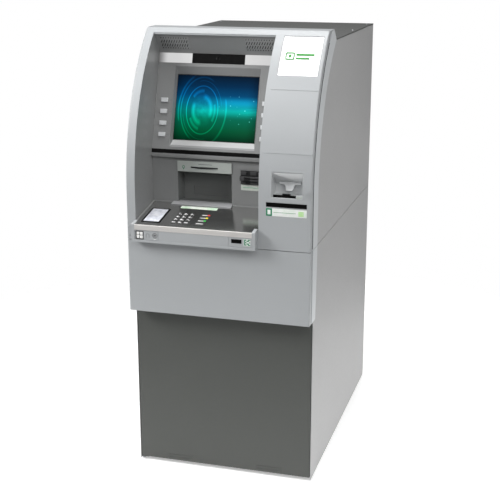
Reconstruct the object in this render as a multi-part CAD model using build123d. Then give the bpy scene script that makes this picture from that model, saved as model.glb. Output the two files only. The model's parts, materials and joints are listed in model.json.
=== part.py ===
from build123d import *

import math
import os

# Free-standing lobby cash machine: a vault with a hinged safe door below, a sheet-metal cabinet
# above it, and a full-width fascia door that carries the user recess, desk and deposit column.
# Millimetres, +Z up, -Y towards the user. Lengths along Y are written from the safe door's front
# plane; every saved part is shifted by Y_CENTRE, so the origin is the centre of the footprint.

# ---- driving dimensions -------------------------------------------------------------------
WIDTH = 600.0
HALF = WIDTH / 2
REAR = 950.0
REAR_FACE = 948.8  # outer face of the rear panel, under the top panel's edge
SHELF_FRONT = -82.4
Y_CENTRE = (REAR + SHELF_FRONT) / 2

Z_FASCIA_LOW = 560.0  # lower edge of the lower fascia
Z_SEAM = 800.0  # joint between the lower fascia and the fascia door
Z_TOP = 1451.0  # top of the fascia
Z_CABINET = 1418.0  # top of the cabinet
SEAM_GAP = 1.0

FRONT = -53.0  # front plane of the fascia below the bend
Z_BEND = 960.0  # the front curves back above this height
R_FRONT = 665.0  # radius of the curved front
SHELL = 2.5  # wall of the fascia mouldings
SHELL_DEPTH = 22.0  # depth of their side walls
GROOVE_BACK = 32.0  # the shadow groove ends and the surround begins
RIM_BACK = 95.0  # back edge of the surround
SKIN = 1.5  # cabinet sheet
PANEL_HALF = 299.0  # outer face of the side panels

RECESS_LEFT, RECESS_RIGHT = -271.0, 134.0
RECESS_TOP, RECESS_LOW = 1435.5, 858.0
LINER = 3.0
Y_PANEL, Z_PANEL = 105.0, 1067.0  # lower edge of the leaning screen panel
LEAN = 16.95  # degrees that the screen panel leans back
LIGHT_LOW, LIGHT_HIGH = 282.0, 314.0  # light bar, measured up the screen panel
STRIP_LOW = -13.0  # the black strip hangs below the panel's lower edge
Y_WALL = 108.0  # lower wall of the recess
Z_LEDGE = 1047.0
NICHE = (-184.0, 0.0, 893.0, 996.0)  # x from, x to, z from, z to
NICHE_BACK = 172.0
TRAY = (-200.0, 3.0)  # the note tray's lip on the desk

BEZEL = (-212.0, 76.0, 8.0, 272.0)  # outer edge of the screen funnel: u, u, v, v
GLASS = (-207.0, 69.0, 34.0, 247.0)  # visible screen
BEZEL_DEPTH = 17.0
SIDE_KEY = (22.7, 14.0)
SIDE_KEY_U = (-240.0, 101.0)
SIDE_KEY_V = (159.4, 122.5, 84.3, 47.1)

DESK_Z, DESK_SLOPE = 858.0, 10.3
PAD = (-251.0, -187.5, 24.5, 132.0)
KEY = 16.4
KEY_U = (-145.0, -124.5, -104.0)
KEY_V0, KEY_PITCH = 36.0, 21.4
FUNCTION_KEY = (-75.0, -42.0)
KEY_GAP = 0.35

SHELF = (-274.6, 131.4, 801.5)
CHEEK = 10.1  # side cheeks of the shelf
RELIEF = 0.8  # how far its front plate lies behind the cheeks

SIGN = (161.0, 289.0, 1322.0, 1435.0)
DEPOSIT = (174.0, 271.5, 966.0, 1045.3)
SLOT_STRIP = (158.0, 286.0, 937.4, 951.2)

SAFE_AXIS = (-289.0, 8.0)
SAFE_ROUND = 8.0
SLAB = 42.0
DOOR = (14.0, 786.0)  # safe door, low and high
FASCIA_AXIS = (-294.0, -30.0)
PIN = 2.0
PIN_GAP = 0.05
VAULT_FRONT = 44.0
VAULT_HALF = 288.0
LIP = 262.0
BOLT_R, BOLT_Y = 9.0, 68.0
BOLT_Z = (150.0, 395.0, 640.0)
SPINDLE_Z = 680.0
HANDLE_X, DIAL_X = 70.0, -60.0
FOOT = 8.0
ANCHOR_R = 8.5
ANCHOR_X, ANCHOR_Y = 200.0, (150.0, 800.0)
BAY_Z0, BAY_PITCH = 40.0, 148.0

os.makedirs("parts", exist_ok=True)


# ---- helpers ------------------------------------------------------------------------------
def box(x0, x1, y0, y1, z0, z1):
    """Block between two corners."""
    centre = Pos((x0 + x1) / 2, (y0 + y1) / 2, (z0 + z1) / 2)
    return centre * Box(x1 - x0, y1 - y0, z1 - z0)


def prism(outline, x0, x1):
    """Outline of (y, z) points carried along X."""
    face = make_face(Polyline(*[(x0, y, z) for y, z in outline], close=True))
    return extrude(face, amount=x1 - x0, dir=(1, 0, 0))


def rod(x, y, z0, z1, radius):
    """Upright cylinder."""
    return Pos(x, y, (z0 + z1) / 2) * Cylinder(radius, z1 - z0)


def bar(x, z, y0, y1, radius):
    """Cylinder along Y."""
    return Pos(x, (y0 + y1) / 2, z) * Rot(90, 0, 0) * Cylinder(radius, y1 - y0)


def group(solids):
    """Separate solids that share one node."""
    return Compound([s for part in solids for s in part.solids()])


def both_sides(shape):
    """A right-hand piece and its left-hand mirror image, fused."""
    return shape + mirror(shape, about=Plane.YZ)


def save(name, shape):
    """Write one sub-part in the shared frame."""
    export_step(Pos(0, -Y_CENTRE, 0) * shape, f"parts/{name}.step")


def front_y(depth, z):
    """Y of the surface that lies this far behind the fascia's front, square to it."""
    if z <= Z_BEND:
        return FRONT + depth
    radius = R_FRONT - depth
    return FRONT + R_FRONT - math.sqrt(radius**2 - (z - Z_BEND) ** 2)


def front_line(depth, z0, z1, x):
    """The edges of that surface between two heights."""
    edges = []
    if z0 < Z_BEND:
        low, high = (x, front_y(depth, z0), z0), min(z1, Z_BEND)
        edges.append(Line(low, (x, front_y(depth, high), high)))
    if z1 > Z_BEND:
        start = max(z0, Z_BEND)
        heights = (start, (start + z1) / 2, z1)
        edges.append(ThreePointArc(*[(x, front_y(depth, z), z) for z in heights]))
    return edges


def band(near, far, x0, x1, z0, z1):
    """Everything between two depths behind the fascia's front."""
    edges = front_line(near, z0, z1, x0) + front_line(far, z0, z1, x0)
    for z in (z0, z1):
        edges.append(Line((x0, front_y(near, z), z), (x0, front_y(far, z), z)))
    return extrude(make_face(edges), amount=x1 - x0, dir=(1, 0, 0))


def plate_outline(points, thickness):
    """Outline of a folded plate: the visible line, then the same line moved back."""
    back = []
    for i, (y, z) in enumerate(points):
        normals = []
        for a, b in ((i - 1, i), (i, i + 1)):
            if a >= 0 and b < len(points):
                dy, dz = points[b][0] - points[a][0], points[b][1] - points[a][1]
                normals.append((-dz / math.hypot(dy, dz), dy / math.hypot(dy, dz)))
        ny, nz = sum(n[0] for n in normals), sum(n[1] for n in normals)
        scale = thickness * len(normals) / (ny * ny + nz * nz)
        back.append((y + ny * scale, z + nz * scale))
    return points + back[::-1]


LEAN_RAD, SLOPE_RAD = math.radians(LEAN), math.radians(DESK_SLOPE)
SCREEN_PLANE = Plane(
    origin=(0, Y_PANEL, Z_PANEL), x_dir=(1, 0, 0), z_dir=(0, -math.cos(LEAN_RAD), math.sin(LEAN_RAD))
)
DESK_PLANE = Plane(
    origin=(0, SHELF_FRONT, DESK_Z), x_dir=(1, 0, 0), z_dir=(0, -math.sin(SLOPE_RAD), math.cos(SLOPE_RAD))
)


def panel_point(v, w=0.0):
    """(y, z) of a point v up the screen panel and w in front of it."""
    return (
        Y_PANEL + v * math.sin(LEAN_RAD) - w * math.cos(LEAN_RAD),
        Z_PANEL + v * math.cos(LEAN_RAD) + w * math.sin(LEAN_RAD),
    )


def desk_point(v, w=0.0):
    """(y, z) of a point v up the desk and w above it."""
    return (
        SHELF_FRONT + v * math.cos(SLOPE_RAD) - w * math.sin(SLOPE_RAD),
        DESK_Z + v * math.sin(SLOPE_RAD) + w * math.cos(SLOPE_RAD),
    )


# ---- vault --------------------------------------------------------------------------------
def levelling_feet():
    feet = []
    for x in (-240, 240):
        for y in (110, 850):
            feet.append(rod(x, y, 0, 5, 22) + rod(x, y, 5, FOOT, 9))
    return group(feet)


def vault_body():
    body = box(-VAULT_HALF, VAULT_HALF, VAULT_FRONT, 900, FOOT, 782)
    body -= box(-278, 278, 56, 888, 20, 770)
    body -= box(-LIP, LIP, VAULT_FRONT - 1, 57, 32, 758)
    body -= box(-100, 100, 300, 340, 765, 790)  # note slot in the roof
    for x in (-ANCHOR_X, ANCHOR_X):
        for y in ANCHOR_Y:
            body -= rod(x, y, FOOT - 1, 21, ANCHOR_R)
    body += box(-294.5, -272, SAFE_AXIS[1], VAULT_FRONT, FOOT, 13)
    body += box(-VAULT_HALF, -272, VAULT_FRONT, 56, 782, 805)
    body += box(-294.5, -272, SAFE_AXIS[1], VAULT_FRONT, 801.5, 805)
    for z0, z1 in ((FOOT, 13), (801.5, 805)):
        body += rod(*SAFE_AXIS, z0, z1, 7.3)
        body -= rod(*SAFE_AXIS, z0 - 1, z1 + 1, 5 + PIN_GAP)
    for x in (-170, 150):
        body += box(x, x + 20, 320, 880, 20, 26)  # runners of the dispenser
    return body


def lower_rim_edge(gap, x):
    """Back edge of the lower surround, bowed like the fascia above it."""
    points = [(x, 26 + gap, Z_FASCIA_LOW), (x, 36 + gap, 684), (x, 41.5 + gap, Z_SEAM - SEAM_GAP)]
    return ThreePointArc(*points)


def vault_side_panels():
    x, gap = PANEL_HALF - SKIN, 1.6
    low, high, back = 5.0, Z_SEAM - SEAM_GAP, REAR_FACE - 2.5
    edges = [
        lower_rim_edge(gap, x),
        Polyline((x, 26 + gap, Z_FASCIA_LOW), (x, 26 + gap, Z_FASCIA_LOW - 1.5),
                 (x, 0.8, Z_FASCIA_LOW - 1.5), (x, 0.8, low), (x, back, low),
                 (x, back, high), (x, 41.5 + gap, high)),
    ]
    panel = extrude(make_face(edges), amount=SKIN, dir=(1, 0, 0))
    for z in (low, high - SKIN):
        panel += box(289.5, x, 70, 930, z, z + SKIN)
    return group([panel, mirror(panel, about=Plane.YZ)])


def rear_panel():
    inner, outer = REAR_FACE - 2, REAR_FACE
    panel = box(-PANEL_HALF, PANEL_HALF, inner, outer, 5, 1414)
    for x in (-110, 110):
        for z in [1150 + 14 * i for i in range(12)] + [150 + 14 * i for i in range(6)]:
            panel -= box(x - 70, x + 70, inner - 1, outer + 1, z, z + 4)
    panel -= box(170, 230, inner - 1, outer + 1, 50, 80)  # cable entry
    for z in (402, 799):
        panel -= box(-PANEL_HALF - 1, PANEL_HALF + 1, outer - 0.6, outer + 1, z, z + 1.6)
    return panel


# ---- upper cabinet ------------------------------------------------------------------------
def upper_side_panels():
    x, near, low, high, back = PANEL_HALF - SKIN, RIM_BACK + 1.6, 801.0, 1414.0, REAR_FACE - 2.5
    edges = front_line(near, low, high, x)
    ends = (x, front_y(near, low), low), (x, front_y(near, high), high)
    edges.append(Polyline(ends[0], (x, back, low), (x, back, high), ends[1]))
    panel = extrude(make_face(edges), amount=SKIN, dir=(1, 0, 0))
    panel += box(286, x, 60, 930, low, low + SKIN)
    panel += box(286, x, 300, 930, high - SKIN, high)
    left = mirror(panel, about=Plane.YZ)
    for y, z in ((666, 1085), (229, 1080), (120, 870)):
        panel -= box(x - 1, PANEL_HALF + 1, y - 9, y + 9, z - 1.8, z + 1.8)  # quarter-turn lock slots
    return group([panel, left])


def top_panel():
    lid = box(-299.5, 299.5, 274, REAR, 1414.5, Z_CABINET)
    return lid - box(-298, 298, 273, REAR - SKIN, 1413, Z_CABINET - SKIN)


def rim_clip(x0, x1):
    """Space in front of the surround's sloping back."""
    outline = [(-100, 790), (400, 790), (400, 1415 - 128), (272, 1415), (238, 1448), (-100, 1448)]
    return prism(outline, x0, x1)


def hinge_lug(z0, z1):
    """Lug that holds a fascia hinge pin, standing out of the surround into the groove."""
    x = FASCIA_AXIS[0]
    lug = box(x + 0.1, x + 4, FASCIA_AXIS[1], -18, z0, z1)
    return lug + box(-297.5, x + 4, -21, -10, z0, z1)


def upper_surround():
    side = band(GROOVE_BACK, RIM_BACK, 297.5, HALF, Z_SEAM + SEAM_GAP, 1448)
    side = side & rim_clip(297, HALF + 1)
    side += band(70, 120, 295.5, 297.5, 815, 1400)
    rim = both_sides(side)
    rim += prism([(272, 1415), (238, 1448), (235, 1448), (269, 1413.5)], -HALF, HALF)
    rim += box(-297.5, 297.5, 214, 236, 1440, 1447.5)
    for z0, z1 in ((806, 816), (846, 856), (940, 950), (988, 998)):
        rim += hinge_lug(z0, z1)
    for z0, z1 in ((806, 856), (940, 998)):
        rim += rod(*FASCIA_AXIS, z0, z1, PIN)
    return rim


def computer_unit():
    case = box(-160, 180, 480, 860, 790, 1010)
    case -= box(-158, 178, 482, 858, 792, 1008)
    case -= box(-140, 160, 855, 865, 800, 1000)  # connector side
    for x in (-130, 150):
        case += box(x - 15, x + 15, 500, 840, 782, 790)
    for i in range(10):
        case -= box(-120 + 26 * i, -106 + 26 * i, 479, 483, 880, 980)
    return case


# ---- safe door ----------------------------------------------------------------------------
def safe_door():
    low, high = DOOR
    slab = box(SAFE_AXIS[0], 295.5, 0, SLAB, low, high)
    slab += box(SAFE_AXIS[0] - SAFE_ROUND, SAFE_AXIS[0], SAFE_AXIS[1], SLAB, low, high)
    slab += rod(*SAFE_AXIS, low, high, SAFE_ROUND)
    slab += rod(*SAFE_AXIS, high, 805, 5) + rod(*SAFE_AXIS, FOOT + 1, low, 5)
    slab += box(-255, 253, SLAB, 84, 45, 745)  # cover of the boltwork
    slab -= box(-252, 250, SLAB - 6, 81, 48, 742)
    for z in BOLT_Z:
        slab -= Pos(251, BOLT_Y, z) * Rot(0, 90, 0) * Cylinder(BOLT_R + PIN_GAP, 8)
    slab -= bar(HANDLE_X, SPINDLE_Z, -1, SLAB, 8 + PIN_GAP)
    slab -= bar(DIAL_X, SPINDLE_Z, -1, SLAB, 6 + PIN_GAP)
    for x in (-196, 115):  # flush covers near the floor
        slab -= box(x, x + 87, -1, 0.8, 24, 35.5) - box(x + 1.2, x + 85.8, -1, 0.8, 25.2, 34.3)
    return slab


def safe_handle():
    hub = bar(HANDLE_X, SPINDLE_Z, -40, -0.5, 19) + bar(HANDLE_X, SPINDLE_Z, -0.5, 52, 8)
    lever = box(HANDLE_X - 92, HANDLE_X, -44, -33, SPINDLE_Z - 9, SPINDLE_Z + 9)
    lever = fillet(lever.edges().filter_by(Axis.X), 3)
    grip = bar(HANDLE_X - 88, SPINDLE_Z, -46, -30, 13)
    return hub + lever + fillet(grip.edges().filter_by(GeomType.CIRCLE), 3)


def combination_dial():
    dial = bar(DIAL_X, SPINDLE_Z, -14, -0.5, 34) + bar(DIAL_X, SPINDLE_Z, -34, -14, 19)
    dial = chamfer(dial.edges().group_by(Axis.Y)[0], 2)
    for i in range(24):
        turn = math.radians(15 * i)
        x, z = DIAL_X + 19.4 * math.cos(turn), SPINDLE_Z + 19.4 * math.sin(turn)
        dial -= bar(x, z, -35, -16, 1.3)
    return dial + bar(DIAL_X, SPINDLE_Z, -0.5, 46, 6)


def lock_bolts():
    bolts = box(186, 198, BOLT_Y - 6, BOLT_Y + 6, BOLT_Z[0] - 20, BOLT_Z[2] + 20)
    for z in BOLT_Z:
        bolts += Pos(221, BOLT_Y, z) * Rot(0, 90, 0) * Cylinder(BOLT_R, 62)
    return bolts


def lower_surround():
    low, high = Z_FASCIA_LOW, Z_SEAM - SEAM_GAP
    rim = box(-HALF, HALF, -21, 0, low, high) - box(-272, 272, -22, 1, low + 24, high - 24)
    x = 297.5
    edges = [
        lower_rim_edge(0, x),
        Polyline((x, 26, low), (x, 0, low), (x, 0, high), (x, 41.5, high)),
    ]
    cheek = extrude(make_face(edges), amount=HALF - x, dir=(1, 0, 0))
    cheek = fillet(cheek.edges().filter_by(Axis.X).sort_by_distance((x, 26, low))[0], 8)
    rim = rim + cheek + mirror(cheek, about=Plane.YZ)
    for z0, z1 in ((590, 600), (630, 640), (720, 730), (760, 770)):
        rim += hinge_lug(z0, z1)
    for z0, z1 in ((590, 640), (720, 770)):
        rim += rod(*FASCIA_AXIS, z0, z1, PIN)
    return rim


def knuckle(z0, z1):
    """Hinge knuckle on a moulding's left wall, bored for its pin."""
    x, y = FASCIA_AXIS
    eye = box(-298.5, x, y - 4, y + 4, z0, z1) + rod(x, y, z0, z1, 4)
    return eye - rod(x, y, z0 - 1, z1 + 1, PIN + PIN_GAP)


def lower_fascia():
    low, high = Z_FASCIA_LOW, Z_SEAM - SEAM_GAP
    shell = box(-HALF, HALF, FRONT, FRONT + SHELL_DEPTH, low, high)
    front_edges = shell.edges().group_by(Axis.Y)[0]
    shell = fillet(front_edges.filter_by(Axis.Z), 4)
    shell = fillet(shell.edges().filter_by(Axis.X).group_by(Axis.Y)[0].sort_by(Axis.Z)[0], 3)
    shell -= box(-298, 298, FRONT + SHELL, 0, low + 2, high - 2)
    shell += box(290, 292, FRONT + SHELL, -23, low + 4, high - 4)
    for z0, z1 in ((600.5, 629.5), (730.5, 759.5)):
        shell = shell + knuckle(z0, z1) - rod(*FASCIA_AXIS, z0 - 1, z1 + 1, PIN + PIN_GAP)
    return shell


# ---- note dispenser -----------------------------------------------------------------------
def dispenser_unit():
    frame = box(-134, -130, 360, 860, 26.3, 752) + box(130, 134, 360, 860, 26.3, 752)
    frame += box(-172, 172, 330, 860, 26.3, 31)
    for i in range(4):
        z = BAY_Z0 + BAY_PITCH * i
        frame += box(-130, 130, 360, 860, z - 4, z - 1)
        frame += box(-130, 130, 790, 800, z + 6, z + 122)
        for x in (-60, 60):
            frame += Pos(x, 822, z + 60) * Rot(0, 90, 0) * Cylinder(20, 40)
        frame += Pos(0, 822, z + 60) * Rot(0, 90, 0) * Cylinder(6, 262)
    frame += box(-130, 130, 360, 860, 636, 640)
    frame += box(-110, 110, 330, 640, 640, 752) - box(-106, 106, 305, 630, 660, 756)
    return frame


def cash_cassettes():
    cassettes = []
    for i in range(4):
        z = BAY_Z0 + BAY_PITCH * i
        body = box(-115, 115, 372, 780, z, z + 124)
        body = fillet(body.edges().filter_by(Axis.Y), 5)
        body -= box(-70, 70, 371, 384, z + 70, z + 104)
        body += box(-70, 70, 373, 379, z + 82, z + 92)  # pull bar
        body -= box(-116, 116, 420, 424, z + 20, z + 22)
        cassettes.append(body)
    return group(cassettes)


# ---- fascia door --------------------------------------------------------------------------
def fascia_shell():
    low = Z_SEAM + SEAM_GAP
    shell = band(0, SHELL_DEPTH, -HALF, HALF, low, Z_TOP)
    corner = shell.edges().filter_by(Axis.X).sort_by_distance((0, front_y(0, Z_TOP), Z_TOP))[0]
    shell = fillet(corner, 9)
    sides = [e for e in shell.edges() if abs(abs(e.center().X) - HALF) < 0.1]
    rounded = [e for e in sides if front_y(1, min(e.center().Z, 1448)) > e.center().Y]
    shell = fillet(rounded, 4)
    shell -= band(SHELL, SHELL_DEPTH + 9, -298, 298, low + 2, Z_TOP - 2)
    shell += box(-HALF, HALF, front_y(SHELL_DEPTH, Z_TOP) - 12, 237, Z_TOP - 2, Z_TOP)
    shell += band(SHELL - 0.5, 36, 290, 292, low + 4, Z_TOP - 4)
    shell += band(SHELL - 0.5, 36, -292, -290, 1010, Z_TOP - 4)
    shell -= box(RECESS_LEFT, RECESS_RIGHT, -60, 300, RECESS_LOW, RECESS_TOP)
    shell -= box(-268, 127.5, -60, -40, 805.5, RECESS_LOW + 1)  # passage of the desk tub
    shell -= box(SIGN[0], SIGN[1], 40, 300, SIGN[2], SIGN[3])
    shell -= box(DEPOSIT[0], DEPOSIT[1], -60, -20, DEPOSIT[2], DEPOSIT[3])
    shell -= box(SLOT_STRIP[0], SLOT_STRIP[1], -60, -20, SLOT_STRIP[2], SLOT_STRIP[3])
    for z in (1099.5, 1282.5):  # joint lines between the column's cover plates
        shell -= box(149, HALF + 1, -60, front_y(0.9, z), z - 0.7, z + 0.7)
    for z0, z1 in ((816.5, 845.5), (950.5, 987.5)):
        shell = shell + knuckle(z0, z1) - rod(*FASCIA_AXIS, z0 - 1, z1 + 1, PIN + PIN_GAP)
    return shell


CEILING_FOOT = panel_point(LIGHT_HIGH)
CEILING_TIP = (151.0, RECESS_TOP - 0.6)
CEILING_RUN = math.dist(CEILING_FOOT, CEILING_TIP)
CEILING_UP = tuple((tip - foot) / CEILING_RUN for tip, foot in zip(CEILING_TIP, CEILING_FOOT))
CEILING_PLANE = Plane(
    origin=(0, *CEILING_FOOT), x_dir=(1, 0, 0), z_dir=(0, -CEILING_UP[1], CEILING_UP[0])
)


def funnel(wall, top):
    """Tapered hollow of the screen bezel, in the screen panel's own frame."""
    rings = []
    for (u0, u1, v0, v1), w in ((BEZEL, top), (GLASS, -BEZEL_DEPTH)):
        place = Pos((u0 + u1) / 2, (v0 + v1) / 2, w)
        rings.append(place * Rectangle(u1 - u0 + 2 * wall, v1 - v0 + 2 * wall))
    return loft(rings)


def speaker_slots():
    """Rows of short and long slanted slots in the recess ceiling, in its own frame."""
    pitch, tilt, width = 7.2, -27, 2.8
    slots = []
    for x0 in (-253.0, 32.0):
        for v, length in ((20.5, 4.5), (31.5, 13), (47, 13), (61, 4.5)):
            for column in range(11):
                place = Pos(x0 + pitch * column, v, 0)
                slots.append(place * Rot(0, 0, tilt) * Box(width, length, 12))
    return slots


def recess_upper():
    pocket, strip = 5.0, 4.0
    line = [
        CEILING_TIP, panel_point(LIGHT_HIGH), panel_point(LIGHT_HIGH, -pocket),
        panel_point(LIGHT_LOW, -pocket), panel_point(LIGHT_LOW), panel_point(0),
        panel_point(0, -strip), panel_point(STRIP_LOW, -strip),
    ]
    liner = prism(plate_outline(line, LINER), RECESS_LEFT, RECESS_RIGHT)
    liner -= box(RECESS_LEFT - 1, RECESS_RIGHT + 1, 100, 200, RECESS_TOP - 0.1, Z_TOP)
    ledge = [
        panel_point(STRIP_LOW), (99.5, Z_LEDGE), (Y_WALL + LINER, Z_LEDGE),
        panel_point(STRIP_LOW, -strip - LINER),
    ]
    liner += prism(ledge, RECESS_LEFT, RECESS_RIGHT)
    liner -= SCREEN_PLANE * funnel(0, 0.5)
    liner += SCREEN_PLANE * (funnel(2.5, -0.5) - funnel(0, 0.5))
    w, h = SIDE_KEY[0] / 2 + KEY_GAP, SIDE_KEY[1] / 2 + KEY_GAP
    for u in SIDE_KEY_U:
        for v in SIDE_KEY_V:
            liner -= SCREEN_PLANE * box(u - w, u + w, v - h, v + h, -5, 2)
    return liner - [CEILING_PLANE * slot for slot in speaker_slots()]


def recess_lower():
    x0, x1, z0, z1 = NICHE
    wall = box(RECESS_LEFT, RECESS_RIGHT, Y_WALL, Y_WALL + LINER, 889, Z_LEDGE)
    wall -= box(x0, x1, Y_WALL - 1, Y_WALL + 4, z0, z1)
    wall -= box(-142, -42, Y_WALL - 1, Y_WALL + 4, 1003, 1022)  # throat of the printer
    wall -= box(33, 116, Y_WALL - 1, Y_WALL + 4, 968, 1008)  # throat of the card reader
    top, foot, low = panel_point(LIGHT_HIGH), panel_point(STRIP_LOW), 856.0
    start = front_y(SHELL, low)
    edges = front_line(SHELL, low, CEILING_TIP[1], 0) + [
        Polyline((0, front_y(SHELL, CEILING_TIP[1]), CEILING_TIP[1]), (0, *CEILING_TIP), (0, *top),
                 (0, *panel_point(0)), (0, *foot), (0, Y_WALL, Z_LEDGE), (0, Y_WALL + LINER, Z_LEDGE),
                 (0, Y_WALL + LINER, 889), (0, start, low)),
    ]
    cheek = extrude(make_face(edges), amount=LINER, dir=(1, 0, 0))
    return wall + Pos(RECESS_LEFT - LINER, 0, 0) * cheek + Pos(RECESS_RIGHT, 0, 0) * cheek


def light_bar():
    low, high = LIGHT_LOW + 0.3, LIGHT_HIGH - 0.3
    parts = [(RECESS_LEFT + 0.3, -157.4), (20.4, RECESS_RIGHT - 0.3)]
    return group([SCREEN_PLANE * box(u0, u1, low, high, -4.8, -0.4) for u0, u1 in parts])


def camera_window():
    window = box(-157, 20, LIGHT_LOW + 0.3, LIGHT_HIGH - 0.3, -4.8, 0.6)
    window -= box(-90, -47, 286, 310, -5, -3)  # seat of the camera board
    return SCREEN_PLANE * window


def screen():
    u0, u1, v0, v1 = GLASS
    glass = box(u0 - 3, u1 + 3, v0 - 3, v1 + 3, -BEZEL_DEPTH - 4, -BEZEL_DEPTH)
    case = box(u0 - 3, u1 + 3, v0 - 3, v1 + 3, -BEZEL_DEPTH - 26, -BEZEL_DEPTH - 4)
    case = chamfer(case.edges().group_by(Axis.Z)[0], 6)
    return SCREEN_PLANE * (glass + case)


def accent_strips():
    upper = SCREEN_PLANE * box(RECESS_LEFT + 0.2, RECESS_RIGHT - 0.2, STRIP_LOW + 0.1, -0.1, -3.9, 0.6)
    x0, x1, z0, z1 = SLOT_STRIP
    lower = box(x0 + 0.2, x1 - 0.2, FRONT - 0.6, FRONT + 6, z0 + 0.2, z1 - 0.2)
    lower += box(x0 - 3, x1 + 3, FRONT + SHELL, FRONT + 6, z0 - 3, z1 + 3)
    return group([upper, lower])


def side_key(u, v):
    w, h = SIDE_KEY[0] / 2, SIDE_KEY[1] / 2
    cap = box(u - w, u + w, v - h, v + h, -6, 5)
    cap = fillet(cap.edges().group_by(Axis.Z)[-1], 1.2)
    cap += box(u - w - 2, u + w + 2, v - h - 2, v + h + 2, -6, -4)
    return SCREEN_PLANE * cap


# ---- money, receipt and card handling -----------------------------------------------------
def note_niche():
    x0, x1, z0, z1 = NICHE
    tray = box(x0 - LINER, x1 + LINER, Y_WALL + LINER, NICHE_BACK + LINER, z0 - LINER, z1 + LINER)
    tray -= box(x0, x1, Y_WALL, NICHE_BACK, z0, z1)
    tray -= box(-150, -34, NICHE_BACK - 1, NICHE_BACK + 4, 905, 935)
    for x in (-165, -24):
        tray += box(x, x + 5, NICHE_BACK + LINER, NICHE_BACK + 10, 897, 992)
    return tray


def cash_shutter():
    back = NICHE_BACK + LINER
    plate = box(-158, -26, back + 0.3, back + 3.3, 899, 941)
    return plate + box(-150, -34, back + 3.3, back + 7, 934, 941)


def tray_plate():
    """Note tray: a sloping lip that lies on the desk and a level part inside the niche."""
    low, high = 893.4, 895.4
    lip = prism([(84, 888.8), (84, 891.2), (107, high), (107, low)], *TRAY)
    return lip + box(NICHE[0] + 0.5, NICHE[1] - 0.5, 107, 128, low, high)


def receipt_printer():
    x0, x1 = NICHE[0], NICHE[1]
    face = box(x0, x1, Y_WALL - 3, Y_WALL, NICHE[3] + 0.5, 1031)
    face = fillet(face.edges().filter_by(Axis.Y), 1.5)
    body = box(-140, -44, Y_WALL, 118, 1004, 1021) + box(-170, -14, 118, 290, 1001, 1072)
    body = body - box(-134, -50, Y_WALL - 4, 200, 1010.2, 1013.8)
    return face - box(-134, -50, Y_WALL - 4, 118, 1010.2, 1013.8) + body


def card_reader():
    face = box(31, 118, Y_WALL - 4, Y_WALL, 966.5, 1010)
    nose = box(31, 100, Y_WALL - 16, Y_WALL, 979, 994)
    nose = fillet(nose.edges().filter_by(Axis.X).group_by(Axis.Y)[0], 3)
    body = box(35, 114, Y_WALL, 118, 969, 1007) + box(33, 120, 118, 290, 962, 1018)
    return face + nose + body - box(40, 97, Y_WALL - 17, 280, 985.4, 987.6)


def sign_panel():
    x0, x1, z0, z1 = SIGN
    face = band(1.2, SHELL + 0.1, x0 + 0.8, x1 - 0.8, z0 + 0.8, z1 - 0.8)
    return face + band(SHELL + 0.1, 18, x0 - 3, 289.5, z0 - 3, z1 + 3)


def deposit_recess():
    x0, x1, z0, z1 = DEPOSIT
    front, back, throat = FRONT + SHELL, -2.0, -8.0
    block = box(x0 - 3, x1 + 3, front, back + 3, z0 - 9, z1 + 3)
    block -= band(-5, SHELL, x0 - 4, x1 + 4, z0 - 12, z1 + 5)
    hollow = [
        (-60, z1), (front, z1), (throat, z0 + 42), (back, z0 + 36), (back, z0 + 4), (front, z0), (-60, z0),
    ]
    block -= prism(hollow, x0, x1)
    ramp = [(throat - 1, z0 + 42), (back + 1, z0 + 42), (back + 1, z0 + 18), (throat - 16, z0 + 18)]
    block += prism(ramp, x0 + 8, x1 - 8) & tongue_outline()
    block -= box(x0 + 4, x1 - 22, front + 4, front + 8.6, z0 - 10, z0 + 1)
    return block + box(x0 + 10, x1 - 10, back + 3, 60, z0 - 5, z0 + 30)


def tongue_outline():
    """Everything inside the tongue's tapering outline, seen from the front."""
    middle, z0 = (DEPOSIT[0] + DEPOSIT[1]) / 2, DEPOSIT[2]
    corners = [(-34, 43), (34, 43), (33, 37), (15, 34), (9, 17), (-9, 17), (-15, 34), (-33, 37)]
    face = make_face(Polyline(*[(middle + dx, -60, z0 + dz) for dx, dz in corners], close=True))
    return extrude(face, amount=120, dir=(0, 1, 0))


def deposit_shutter():
    x0, x1, z0 = DEPOSIT[0], DEPOSIT[1], DEPOSIT[2]
    near, far = FRONT + SHELL + 4.3, FRONT + SHELL + 8.3
    gate = box(x0 + 4.3, x1 - 22.3, near, far, z0 - 8, z0 + 8.5)
    return gate + box(x0 + 33, x0 + 59, near, far, z0 + 8.5, z0 + 12.5)


# ---- shelf and desk -----------------------------------------------------------------------
def shelf_housing():
    x0, x1, low = SHELF
    inner0, inner1 = x0 + CHEEK, x1 - CHEEK
    edge = desk_point(0)[0]
    side = [(edge, low), (edge, DESK_Z), (edge + 2.5, DESK_Z + 2.2), (FRONT, 864.5), (FRONT, low)]
    shelf = prism(side, x0, x1)
    shelf -= box(inner0, inner1, edge - 1, FRONT + 1, 841, 880)
    shelf -= box(inner0, inner1, edge - 1, edge + RELIEF, low + 7, 842)  # plate set back in its frame
    shelf -= box(x0 + 4, x1 - 4, edge + 3, FRONT + 1, low + 3, 841)
    shelf += box(-266, 126, FRONT, 100, 806, 848)
    shelf -= box(-263, 123, edge + 3, 97, 809, 849)  # tub under the desk
    for u0, u1 in ((x0 + 12, x0 + 91), (46, 120)):  # joint lines around the two cover plates
        line = box(u0, u1, edge - 1, edge + RELIEF + 0.8, 810, 840)
        shelf -= line - box(u0 + 1, u1 - 1, edge - 2, edge + 3, 811, 839)
    shelf -= box(-258.6, -235.4, edge - 1, edge + 4, 812.4, 836.6)  # seat of the rocker switch
    shelf -= bar(-196, 826, edge - 1, edge + 4, 1.8)  # headphone jack
    shelf -= box(54.6, 88.6, edge - 1, edge + 2, 821, 834.6)  # seat of the reader window
    return shelf


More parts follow.
